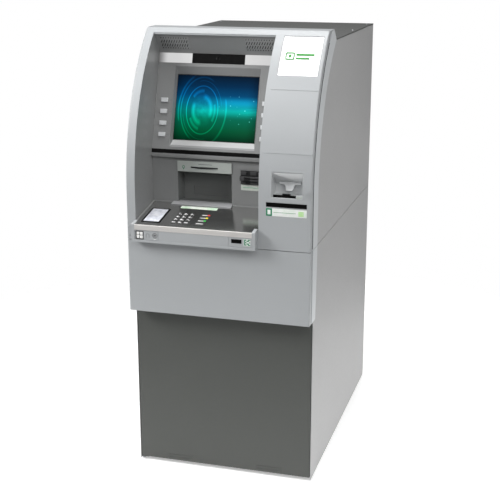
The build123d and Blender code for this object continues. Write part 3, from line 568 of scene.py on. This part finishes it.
# Thin plate over the bezel's lower facet in that lighter paint: a painted highlight where light from
# above falls on it.
SILL_OUTLINE = ((-210.5, 0.8), (74.5, 0.8), (68.3, 30.2), (-206.3, 30.2))
sill = Build(SILL).rings([(SILL_OUTLINE, -0.4), (SILL_OUTLINE, 0.3)])
sill.done("bezel_sill_painted_highlight", sill_painted_highlight, slot="liner_grey")
LEDGE_LIP = (RECESS_LEFT + 0.4, RECESS_RIGHT - 0.4, 1041.5, 1053.0)
TOP_LIP = (RECESS_LEFT + 0.3, RECESS_RIGHT - 0.3, 1429.6, 1435.3)
plate("ledge_lip", on_front(99.4), LEDGE_LIP, (-0.8, 0.9), (0.8, 0.5),
      SLOTS["liner_grey"], slot="liner_grey")
plate("recess_top_lip", on_front(150.4), TOP_LIP, (0.0, 2.0), (0.8, 0.5),
      SLOTS["fascia_grey"], slot="fascia_grey")

SIDE_KEY_ROWS = (159.4, 122.5, 84.3, 47.1)
LEFT_MARKER, RIGHT_MARKER = (-226.5, -213.5, -0.35, 0.35), (77.5, 88, -0.35, 0.35)
markers = Build(PANEL)
for v in SIDE_KEY_ROWS:
    markers.plate(*moved(LEFT_MARKER, 0, v), -0.3, 0.12, 0.3, 0.05)
    markers.plate(*moved(RIGHT_MARKER, 0, v), -0.3, 0.12, 0.3, 0.05)
markers.done("key_marker_lines", line_grey)

CAMERA_EYE = (-68.5, 298)
LENS_RING = [(7.2, 0.2), (7.2, 1.5), (6.4, 1.9), (5.2, 1.9), (4.6, 0.9), (SMALLEST, 0.75)]
camera_ring = Build(PANEL).lathe(*CAMERA_EYE, LENS_RING)
camera_ring.done("camera_lens_ring", SLOTS["gloss_black"], slot="black_plastic")


# ---- desk ------------------------------------------------------------------------------------
TRAY_LEFT, TRAY_RIGHT = -201.2, 4.2
RIM_LEFT = (RECESS_LEFT + 0.4, RECESS_LEFT + 6.6, 30.5, 187.8)
RIM_BACK_LEFT = (RECESS_LEFT + 0.4, TRAY_LEFT, 187.0, 193.0)
RIM_BACK_RIGHT = (TRAY_RIGHT, RECESS_RIGHT - 0.4, 187.0, 193.0)
border = Build(DESK)
for box in (RIM_LEFT, RIM_BACK_LEFT, RIM_BACK_RIGHT):
    border.plate(*box, -0.1, 2.4, 0.8, 0.6)
border.done("desk_border", SLOTS["liner_grey"], slot="liner_grey")

PAD = (-245.2, -193.6, 31.0, 126.0)
PAD_ROUND_KEY = (-226, -212, 76, 79.5)
ICON, ICON_COLUMNS, ICON_ROWS = (0, 3.4, 0, 3), (-210, -203), (104, 96, 88)
plate("pad_screen", DESK, PAD, (0.6, 1.15), (1.2, 0.12), pad_face, slot="gloss_black")
icons = Build(DESK)
for v in ICON_ROWS:
    for u in ICON_COLUMNS:
        icons.plate(*moved(ICON, u, v), 1.1, 1.22, 0.6, 0.03)
icons.plate(*PAD_ROUND_KEY, 1.1, 1.22, 0.8, 0.03)
icons.done("pad_icons", mark_white)

KEY_COLUMNS = (-145.0, -124.5, -104.0)
KEY_ROWS = (100.2, 78.8, 57.4, 36.0)
KEY_TOP = 1.6
KEY_PRINT = (KEY_TOP - 0.1, KEY_TOP + 0.1)
DOT_PRINT = (KEY_TOP - 0.1, KEY_TOP + 0.15)
LETTERS, BLANK_BAR = (2.2, 6.8, -4.6, -2.0), (-6.2, 6.2, -2.1, 2.1)
FUNCTION_U = -70
FUNCTION_BAR, LONG_BAR, DOT = (0, 17, -2.2, 1.8), (0, 22, -2.2, 1.8), (17.5, 25, -2.6, 4.6)
DIGIT_HEIGHT = 10.6
DIGIT_DEPTH, DIGIT_BOLD = 0.012, 0.03  # as shares of the font's size
DIGIT_RISE = 5  # millimetres for one font size of depth


def key_digit(name, text, u, v, body):
    """Flat raised character, centred at u and v on a key's top."""
    curve = bpy.data.curves.new(name + "_curve", "FONT")
    curve.body, curve.size, curve.extrude, curve.offset = text, 1.0, DIGIT_DEPTH, DIGIT_BOLD
    curve.align_x, curve.align_y = "CENTER", "CENTER"
    source = bpy.data.objects.new(name + "_source", curve)
    bpy.context.scene.collection.objects.link(source)
    bpy.context.view_layer.update()
    mesh = bpy.data.meshes.new_from_object(source.evaluated_get(bpy.context.evaluated_depsgraph_get()))
    bpy.data.objects.remove(source)
    low = [min(p.co[i] for p in mesh.vertices) for i in range(2)]
    high = [max(p.co[i] for p in mesh.vertices) for i in range(2)]
    size = DIGIT_HEIGHT / (high[1] - low[1])
    middle = [(low[i] + high[i]) / 2 for i in range(2)]
    for point in mesh.vertices:
        x, y, z = point.co
        across, along = (x - middle[0]) * size, (y - middle[1]) * size
        point.co = DESK(u + across, v + along, KEY_TOP + 0.05 + z * DIGIT_RISE)
    mesh.name = name
    adopt(bpy.data.objects.new(name, mesh), mark_white, body, 30)


def key_plate(name, box, look, body, heights=KEY_PRINT, radius=0.5):
    plate(name, DESK, box, heights, (radius, 0.05), look, body, "key_dark")


for number in range(12):
    row, column = divmod(number, 3)
    u, v, body = KEY_COLUMNS[column], KEY_ROWS[row], f"digit_key_{number + 1}"
    if row < 3 or column == 1:
        key_digit(f"digit_mark_{number + 1}", str((number + 1) % 11), u - 2, v, body)
        key_plate(f"digit_letters_{number + 1}", moved(LETTERS, u, v), mark_white, body)
    else:
        key_plate(f"digit_mark_{number + 1}", moved(BLANK_BAR, u, v), mark_white, body)
for number, (v, colour) in enumerate(zip(KEY_ROWS, (red_mark_painted_glow, yellow_mark_painted_glow, green_painted_glow_and_lamp, None)), 1):
    body = f"function_key_{number}"
    bar = moved(FUNCTION_BAR if colour else LONG_BAR, FUNCTION_U, v)
    key_plate(f"function_mark_{number}", bar, mark_white, body, radius=0.4)
    if colour:
        key_plate(f"function_dot_{number}", moved(DOT, FUNCTION_U, v), colour, body, DOT_PRINT)

TRAY_LABEL = (-161, -37, 146, 164)
plate("tray_label", DESK, TRAY_LABEL, (-0.1, 0.3), (1.5, 0.1), mint_painted_glow)


# ---- lower wall ------------------------------------------------------------------------------
PRINTER = on_front(105)
SPRIG = (-163, 1012)
STEM = (-164.2, -161.8, 1003.5, 1008.2)
sprig = Build(PRINTER)
sprig.lathe(*SPRIG, [(4.6, -0.1), (4.6, 0.25), (3.1, 0.25), (3.1, -0.1)], 28)
sprig.plate(*STEM, -0.1, 0.25, 0.6, 0.08)
sprig.done("receipt_mark", green)
SMILE_MIDDLE, SMILE_HALF, SMILE_RISE = (-92, 1009.2), 46, 2.6
smile = []
for i in range(-10, 11):
    u, v = SMILE_MIDDLE
    smile.append((u + SMILE_HALF * i / 10, v + SMILE_RISE * (i / 10) ** 2))
slot_shadow = Build(PRINTER).strip(smile, 2.3, -0.1, 0.35)
slot_shadow.done("receipt_slot_shadow", dark_rubber, slot="black_plastic")
slot_lip = Build(PRINTER).strip([(u, v - 3.4) for u, v in smile], 1.0, -0.1, 1.1)
slot_lip.done("receipt_slot_lip", SLOTS["printer_grey"], slot="printer_grey")
RECEIPT_RULE = (-112, -66, 1021.5, 1023.2)
CARD_LABEL = (31, 118, 945.7, 964)
CARD_RULE = (38, 94, 954.2, 956.2)
CARD_HOOD = (22, 126, 1011, 1025)
plate("receipt_rule", PRINTER, RECEIPT_RULE, (-0.1, 0.2), (0.5, 0.05), line_grey)
plate("card_label", WALL, CARD_LABEL, (-0.1, 0.3), (0.8, 0.1), card_paper)
plate("card_label_rule", WALL, CARD_RULE, (0.2, 0.42), (0.5, 0.05), rule_mint)
plate("card_hood_plate", WALL, CARD_HOOD, (-0.2, 0.5), (1.5, 0.3),
      SLOTS["liner_grey"], slot="liner_grey")
READER_BLOCKS = (  # box, how far it stands out
    ((32, 50, 996.5, 1009), 1.4), ((63, 84, 996.5, 1009), 2.0), ((88, 117, 997.5, 1009), 1.6),
    ((33, 48, 967.5, 976.5), 1.6), ((64, 117, 967.5, 977.0), 2.4))
blocks = Build(on_front(104))
for box, out in READER_BLOCKS:
    blocks.plate(*box, -0.2, out, 1.2, 0.4)
blocks.done("card_reader_blocks", worn_black, slot="black_plastic")
SLOT_LIPS = ((66, 99, 980, 984.6), (66, 99, 988.4, 993))
SLOT_END = (32, 46, 980, 993)
nose = Build(on_front(92))
for box in SLOT_LIPS:
    nose.plate(*box, -0.3, 0.6, 0.8, 0.3)
nose.plate(*SLOT_END, -0.3, 0.9, 1.2, 0.3)
nose.done("card_reader_lips", worn_black, slot="black_plastic")
READER_LIGHT = (106, 113, 1000, 1004)
NICHE_SEAM = (-183, -1, 974, 975.6)
plate("card_reader_light", on_front(101.6), READER_LIGHT, (-0.2, 0.3), (0.8, 0.1), pale_green)
plate("niche_seam", on_front(172), NICHE_SEAM, (-0.3, 0.6), (0.5, 0.3),
      SLOTS["niche_dark"], slot="niche_dark")


# ---- deposit column --------------------------------------------------------------------------
# Seal strips in the groove between fascia and surround, one on each side: their grey is painted shade of
# the groove.
SEAL_U, SEAL_FOOT, SEAL_STEP, SEAL_POINTS = 298.8, 804, 8, 80
seal = Build(curved_front)
for u in (-SEAL_U, SEAL_U):
    seal.strip([(u, SEAL_FOOT + SEAL_STEP * i) for i in range(SEAL_POINTS)], 1.0, -31.9, -31.0)
seal.done("fascia_seal_groove_shade", seal_groove_painted_shade, "cabinet", "black_plastic")

SIGN_SIDES, SIGN_ENDS = (161.6, 288.4), (1322.8, 1434.2)
SIDE_FOOT, SIDE_RISE, SIDE_STEPS = 1322.6, 111.8, 16
END_LEFT, END_RIGHT = 160.8, 289.2
# Grey strips round the sign's edge: a painted shadow line where its face sits in the recess.
sign_edge_painted_shadow = Build(curved_front)
for u in SIGN_SIDES:
    side = [(u, SIDE_FOOT + SIDE_RISE * i / SIDE_STEPS) for i in range(SIDE_STEPS + 1)]
    sign_edge_painted_shadow.strip(side, 1.0, -1.1, -0.35)
for v in SIGN_ENDS:
    sign_edge_painted_shadow.strip([(END_LEFT, v), (END_RIGHT, v)], 1.0, -1.1, -0.35)
sign_edge_painted_shadow.done("sign_edge_painted_shadow", soft_line, slot="fascia_grey")
BANKNOTE = (178, 206, 1368, 1389)
COIN = (192, 1378.5)
SIGN_BARS = ((211, 268, 1380, 1386), (211, 254, 1370, 1375))
banknote = Build(curved_front)
banknote.frame(*BANKNOTE, 3.4, 0, 0.5, 2.5, 0.15)
banknote.lathe(*COIN, [(4.4, 0), (4.4, 0.5), (SMALLEST, 0.5)], 24)
for box in SIGN_BARS:
    banknote.plate(*box, 0, 0.5, 1.5, 0.15)
banknote.done("sign_pictogram", sign_green)

DEPOSIT_LABEL = (158, 286, 909, 933.3)
DEPOSIT_TAB = (158.2, 177.2, 909.2, 933.1)
DEPOSIT_RULE = (182, 252, 920.2, 921.8)
DEPOSIT_BLOCK = (260, 277, 912.5, 928)
DEPOSIT_END = (251.5, 270.5, 966.2, 973.5)
plate("deposit_label", LOW_FRONT, DEPOSIT_LABEL, (-0.2, 0.25), (0.8, 0.1), paper)
tab = Build(LOW_FRONT).frame(*DEPOSIT_TAB, 4.6, 0.1, 0.45, 0.8, 0.08)
tab.done("deposit_label_tab", green)
plate("deposit_label_rule", LOW_FRONT, DEPOSIT_RULE, (0.1, 0.4), (0.4, 0.05), rule_grey_green)
plate("deposit_label_block", LOW_FRONT, DEPOSIT_BLOCK, (0.1, 0.4), (1.2, 0.08), pale_green)
plate("deposit_end_block", on_front(-44), DEPOSIT_END, (0, 6.5), (0.8, 0.5),
      SLOTS["printer_grey"], slot="printer_grey")


# ---- shelf front -----------------------------------------------------------------------------
SWITCH = (-260.4, -233.6, 810.6, 838.4)
CAP, CAP_COLUMNS, CAP_ROWS = (0, 9.2, 0, 9.6), (-257.0, -245.8), (814.2, 825.4)
bezel = Build(SHELF).frame(*SWITCH, 2.2, -0.8, 0.5, 2.0, 0.15)
bezel.done("switch_bezel", switch_grey, slot="fascia_grey")
caps = Build(on_front(-81.2))
for u in CAP_COLUMNS:
    for v in CAP_ROWS:
        caps.plate(*moved(CAP, u, v), -0.2, 1.0, 1.0, 0.4)
caps.done("rocker_caps", SLOTS["switch_white"], "rocker_switch", "switch_white")

ARCH_MIDDLE, ARCH_SPRING, ARCH_FOOT, ARCH_RADIUS = -220, 826, 818, 5
arch = [(ARCH_MIDDLE - ARCH_RADIUS, ARCH_FOOT)]
for step in range(9):
    turn = step / 8 * math.pi
    arch.append((ARCH_MIDDLE - ARCH_RADIUS * math.cos(turn), ARCH_SPRING + ARCH_RADIUS * math.sin(turn)))
arch.append((ARCH_MIDDLE + ARCH_RADIUS, ARCH_FOOT))
Build(SHELF).strip(arch, 1.2, -0.1, 0.3).done("arch_mark", soft_line)

JACK = (-196, 826)
JACK_RING = [(9.0, -0.2), (9.0, 0.3), (8.4, 0.5), (6.4, 0.5), (5.8, 0.3), (5.8, -0.2)]
JACK_COLLAR = [(4.6, -0.2), (4.6, 0.35), (3.9, 0.5), (2.4, 0.5), (2.0, 0.3), (2.0, -0.2)]
Build(SHELF).lathe(*JACK, JACK_RING, 36).done("jack_ring", ring_grey, slot="satin_steel")
collar = Build(SHELF).lathe(*JACK, JACK_COLLAR)
collar.done("jack_collar", SLOTS["satin_steel"], slot="satin_steel")
JACK_MARK = (-200, -192, 812.4, 814.2)
READER_WINDOW = (54.9, 88.3, 821.3, 834.3)
CODE_LABEL = (95.5, 116.5, 815.2, 837.2)
plate("jack_mark", SHELF, JACK_MARK, (-0.1, 0.2), (0.6, 0.05), mark_white)
plate("reader_window", on_front(-80.4), READER_WINDOW, (-0.1, 0.9), (1.0, 0.3),
      SLOTS["gloss_black"], slot="gloss_black")
plate("code_label", SHELF, CODE_LABEL, (-0.1, 0.2), (0.8, 0.08), paper)
CELL_ROWS = ("11011", "10110", "11001", "10110", "11011")
CELL, CELL_PITCH, FIRST_CELL = (0, 3.7, 0, 3.7), 3.9, (96.6, 832.4)
cells = Build(SHELF)
for row, line in enumerate(CELL_ROWS):
    for column, bit in enumerate(line):
        if bit == "1":
            u, v = FIRST_CELL[0] + CELL_PITCH * column, FIRST_CELL[1] - CELL_PITCH * row
            cells.plate(*moved(CELL, u, v), 0.1, 0.4, 0.4, 0.05)
cells.done("code_label_cells", green)
PIN = (-291.5, 812)
RELEASE_PIN = [(2.6, -0.2), (2.6, 0.5), (2.0, 0.9), (1.2, 0.9), (1.1, 0.3), (SMALLEST, 0.3)]
pin = Build(LOW_FRONT).lathe(*PIN, RELEASE_PIN, 20)
pin.done("door_release_pin", SLOTS["zinc_steel"], slot="zinc_steel")


# ---- cabinet details -------------------------------------------------------------------------
def screws(name, place, columns, rows, radius, proud):
    """Zinc screws of the cabinet, in columns and rows."""
    group = Build(place)
    for u in columns:
        for v in rows:
            group.screw(u, v, radius, proud)
    group.done(name, SLOTS["zinc_steel"], "cabinet")


screws("rear_screws", BACK, (-286, 286), (40, 380, 425, 610, 780, 820, 1110, 1390), 3.6, 1.0)
screws("top_screws", TOP, (-284, 284), (330, 620, 900), 3.6, 1.6)
SIDE_LOCKS = ((666, 1085), (229, 1080), (120, 870))
PLUG = (-8.7, 8.7, -1.5, 1.5)
plugs = Build(RIGHT)
for y, z in SIDE_LOCKS:
    plugs.plate(*moved(PLUG, y, z), -1.4, -0.15, 1.2, 0.2)
plugs.done("side_lock_plugs", SLOTS["cabinet_grey"], "cabinet", "cabinet_grey")
RATING_PLATE = (60, 130, 690, 734)
plate("rating_plate", BACK, RATING_PLATE, (-0.1, 0.5), (2.0, 0.15), etched, "cabinet")
RULES, RULE_TOP, RULE_PITCH, RULE_WIDTH = 5, 724, 7, 1.6
RULE_START, RULE_ENDS = 65, (125, 111)
rules = Build(BACK)
for i in range(RULES):
    v = RULE_TOP - RULE_PITCH * i
    rules.plate(RULE_START, RULE_ENDS[i % 2], v, v + RULE_WIDTH, 0.4, 0.7, 0.4, 0.05)
rules.done("rating_plate_rules", line_grey, "cabinet")
CABLE_ENTRY = (-233, -167, 47, 83)
edging = Build(BACK).frame(*CABLE_ENTRY, 4.2, -0.5, 1.1, 4.0, 0.4)
edging.done("cable_entry_edging", dark_rubber, "cabinet", "black_plastic")
REAR_LOCK = [(9, -0.2), (9, 0.8), (8.2, 1.15), (6.2, 1.15), (5.8, 0.5), (SMALLEST, 0.5)]
KEYHOLE = (267.2, 268.8, 1246, 1254)
lock = Build(BACK).lathe(268, 1250, REAR_LOCK)
lock.plate(*KEYHOLE, 0.4, 1.0, 0.5, 0.05)
lock.done("rear_lock", worn_black, "cabinet", "black_plastic")

CASSETTES, CASSETTE_FOOT, CASSETTE_PITCH = 4, 40, 148
CASSETTE_FACE = on_front(372)
TAG, WINDOW = (-44, 44, 30, 56), (-104, -84, 24, 102)
KNOB = [(5, -0.2), (5, 1.6), (4.2, 2.2), (SMALLEST, 2.2)]
tags, fittings = Build(CASSETTE_FACE), Build(CASSETTE_FACE)
for i in range(CASSETTES):
    z = CASSETTE_FOOT + CASSETTE_PITCH * i
    tags.plate(*moved(TAG, 0, z), -0.1, 0.5, 1.5, 0.15)
    fittings.frame(*moved(WINDOW, 0, z), 3.0, -0.2, 1.0, 2.0, 0.3)
    fittings.lathe(94, z + 92, KNOB)
tags.done("cassette_labels", paper, "dispenser", "switch_white")
fittings.done("cassette_fittings", SLOTS["black_plastic"], "dispenser", "black_plastic")

DIAL_U, DIAL_V, DIAL_OUTER = -60, 680, 31
TICKS, LONG_EVERY, TICK_INNER, LONG_INNER = 60, 5, 25.0, 22.0
ticks = Build(on_front(-14))
for i in range(TICKS):
    turn = math.radians(360 / TICKS * i)
    inner = TICK_INNER if i % LONG_EVERY else LONG_INNER
    path = [(DIAL_U + r * math.cos(turn), DIAL_V + r * math.sin(turn)) for r in (inner, DIAL_OUTER)]
    ticks.strip(path, 0.35, -0.1, 0.25)
ticks.done("dial_ticks", mark_white, "combination_dial", "black_plastic")
DIAL_INDEX = (-61, -59, 716, 724)
plate("dial_index", on_front(0), DIAL_INDEX, (-0.1, 0.5), (0.6, 0.1), mark_white, "safe_door")

COMPUTER_FACE = on_front(480)
screws("computer_screws", COMPUTER_FACE, (-150, 170), (800, 905, 1000), 3.2, 1.6)
LOW_COVER, HIGH_COVER = (-100, -40, 820, 850), (0, 60, 815, 855)
face = Build(COMPUTER_FACE)
face.plate(*LOW_COVER, -0.1, 0.6, 2.0, 0.2)
face.plate(*HIGH_COVER, -0.1, 1.4, 3.0, 0.5)
face.done("computer_face_plates", SLOTS["black_plastic"], "cabinet", "black_plastic")
POWER_LIGHT = [(2.6, -1.5), (2.6, 0.6), (1.8, 1.2), (SMALLEST, 1.2)]
power = Build(on_front(478.6)).lathe(75, 835, POWER_LIGHT, 20)
power.done("computer_light", green_painted_glow_and_lamp, "cabinet", "switch_white")


# ---- stage -----------------------------------------------------------------------------------
FLOOR_RADIUS = 2.0
FLOOR_FADE = (1.15, 1.9)  # metres from the centre over which it fades out


def ground():
    """Pale floor that lights the object a little from below and fades out into the white surround."""
    look = Look("studio_floor")
    tone = look.mix(look.noise(0.8, 2), srgb(246, 246, 246), srgb(250, 250, 250))
    look.feed(look.shader.inputs["Base Color"], tone)
    look.feed(look.shader.inputs["Emission Color"], tone)
    look.constant(Roughness=0.9, Emission_Strength=0.42)
    reach = look.node("VectorMath", {0: look.where}, operation="LENGTH").outputs["Value"]
    look.feed(look.shader.inputs["Alpha"], Value(look, reach).over(*FLOOR_FADE, 1, 0))
    mesh = bpy.data.meshes.new("studio_floor")
    points = circle(0, 0, FLOOR_RADIUS, 96)
    mesh.from_pydata([(x, y, 0) for x, y in points], [], [tuple(range(len(points)))])
    mesh.materials.append(look.material)
    floor = bpy.data.objects.new("studio_floor", mesh)
    bpy.context.scene.collection.objects.link(floor)


def direction(azimuth, elevation):
    """Unit vector from the object; azimuth 0 is in front and 90 on the right."""
    turn, rise = math.radians(azimuth), math.radians(elevation)
    return Vector((math.sin(turn) * math.cos(rise), -math.cos(turn) * math.cos(rise), math.sin(rise)))


def aim(thing, target, away, distance):
    """Place a lamp or camera away from target, looking at it, and link it."""
    thing.location = Vector(target) + away * distance
    thing.rotation_mode = "QUATERNION"
    thing.rotation_quaternion = (-away).to_track_quat("-Z", "Y")
    bpy.context.scene.collection.objects.link(thing)


def lamp(name, azimuth, elevation, distance, size, power, target=(0, -0.3, 0.9), depth=None):
    """Soft lamp, size metres across, that looks at target from that side."""
    light = bpy.data.lights.new(name, "AREA")
    light.shape, light.size, light.energy = "DISK", size, power
    if depth:
        light.shape, light.size_y = "RECTANGLE", depth
    thing = bpy.data.objects.new(name, light)
    thing.visible_camera = False
    aim(thing, target, direction(azimuth, elevation), distance)


def studio():
    """White surround that is only seen, with the light itself coming from soft lamps and the floor."""
    world = bpy.data.worlds.new("studio")
    world.use_nodes = True
    tree = world.node_tree
    seen = tree.nodes["Background"]
    seen.inputs["Color"].default_value = (1, 1, 1, 1)
    dim = tree.nodes.new("ShaderNodeBackground")
    dim.inputs["Strength"].default_value = 0.04
    choose = tree.nodes.new("ShaderNodeMixShader")
    path = tree.nodes.new("ShaderNodeLightPath")
    tree.links.new(path.outputs["Is Camera Ray"], choose.inputs["Fac"])
    tree.links.new(dim.outputs[0], choose.inputs[1])
    tree.links.new(seen.outputs[0], choose.inputs[2])
    tree.links.new(choose.outputs[0], tree.nodes["World Output"].inputs["Surface"])
    bpy.context.scene.world = world
    lamp("side_key", -60, 30, 3.4, 1.6, 106)
    lamp("right_fill", 45, 33, 3.4, 1.6, 34)
    lamp("low_right", 95, 3, 2.6, 1.2, 22, (0.3, 0, 0.3))
    lamp("right_high", 80, 50, 3.4, 1.4, 24, (0.2, -0.2, 1.0))
    lamp("overhead", 0, 86, 2.8, 1.6, 42, (0, -0.35, 1.0))
    lamp("front_high", 5, 30, 3.4, 1.6, 15)
    lamp("gloss_strip", -23, 47, 3.2, 2.4, 12, (0, -0.3, 1.3), depth=0.35)
    lamp("rear_fill", 182, -6, 3.0, 1.0, 36)
    lamp("rear_high", 200, 60, 3.4, 1.2, 14)


TARGET, DISTANCE = (0.00544, -0.1338, 0.69003), 3.75025
AZIMUTH, ELEVATION = 16.1, 16.01
LENS, SENSOR = 78.2, 36


def shoot():
    lens = bpy.data.cameras.new("camera")
    lens.lens, lens.sensor_width = LENS, SENSOR
    camera = bpy.data.objects.new("camera", lens)
    aim(camera, TARGET, direction(AZIMUTH, ELEVATION), DISTANCE)
    bpy.context.scene.camera = camera
    bpy.context.scene.view_settings.view_transform = "Standard"


ground()
studio()
shoot()
